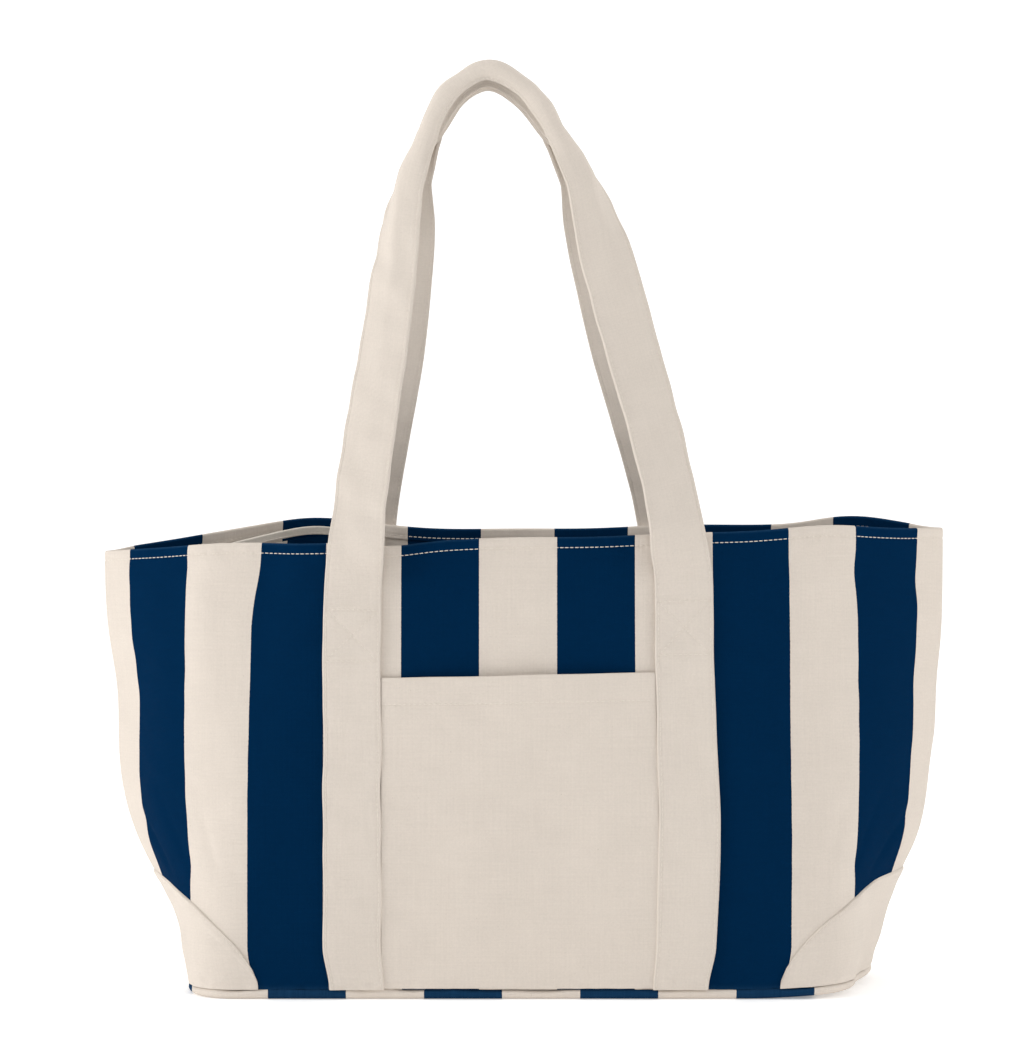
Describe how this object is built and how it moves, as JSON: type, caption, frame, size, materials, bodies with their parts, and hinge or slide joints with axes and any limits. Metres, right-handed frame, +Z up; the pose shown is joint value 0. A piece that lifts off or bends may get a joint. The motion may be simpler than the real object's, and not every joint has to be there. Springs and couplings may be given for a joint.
{
  "type": "canvas tote bag",
  "caption": "Open-topped striped canvas tote bag standing on a flat base, with long shoulder handles, a front pocket and corner patches.",
  "frame": {"origin": "on the ground, under the middle of the base", "axes": "+X along the bag's length to the right as the pocket is faced, +Y to the back, +Z up"},
  "size_m": [0.565, 0.1962, 0.6161],
  "materials": {
    "striped_canvas": "plain weave canvas, woven in navy and natural stripes",
    "natural_canvas": "plain weave canvas, unbleached",
    "strap_canvas": "plain weave canvas, folded into a strap",
    "binding_tape": "cotton tape",
    "thread": "matt cotton thread"
  },
  "bodies": {
    "bag": {"front_panel": "striped_canvas", "back_panel": "striped_canvas", "base_panel": "striped_canvas", "left_seam_binding": "binding_tape", "right_seam_binding": "binding_tape", "base_seam_binding": "binding_tape", "front_pocket": "natural_canvas", "inner_pocket": "striped_canvas", "left_corner_patch": "natural_canvas", "right_corner_patch": "natural_canvas", "front_left_strap": "strap_canvas", "front_right_strap": "strap_canvas", "back_left_strap": "strap_canvas", "back_right_strap": "strap_canvas", "front_hem_thread": "thread", "back_hem_thread": "thread", "pocket_hem_thread": "thread", "inner_pocket_thread": "thread", "left_patch_thread": "thread", "right_patch_thread": "thread", "front_left_strap_thread": "thread", "front_right_strap_thread": "thread", "back_left_strap_thread": "thread", "back_right_strap_thread": "thread"},
    "front_handle": {"front_handle_loop": "strap_canvas", "front_handle_thread": "thread"},
    "back_handle": {"back_handle_loop": "strap_canvas", "back_handle_thread": "thread"}
  },
  "joints": [
    {"name": "front_handle_swing", "type": "hinge", "parent": "bag", "child": "front_handle", "pos_m": [0, -0.0838, 0.259], "axis": [1, 0, 0], "range_deg": [0, 135]},
    {"name": "back_handle_swing", "type": "hinge", "parent": "bag", "child": "back_handle", "pos_m": [0, 0.0838, 0.259], "axis": [-1, 0, 0], "range_deg": [0, 135]}
  ]
}
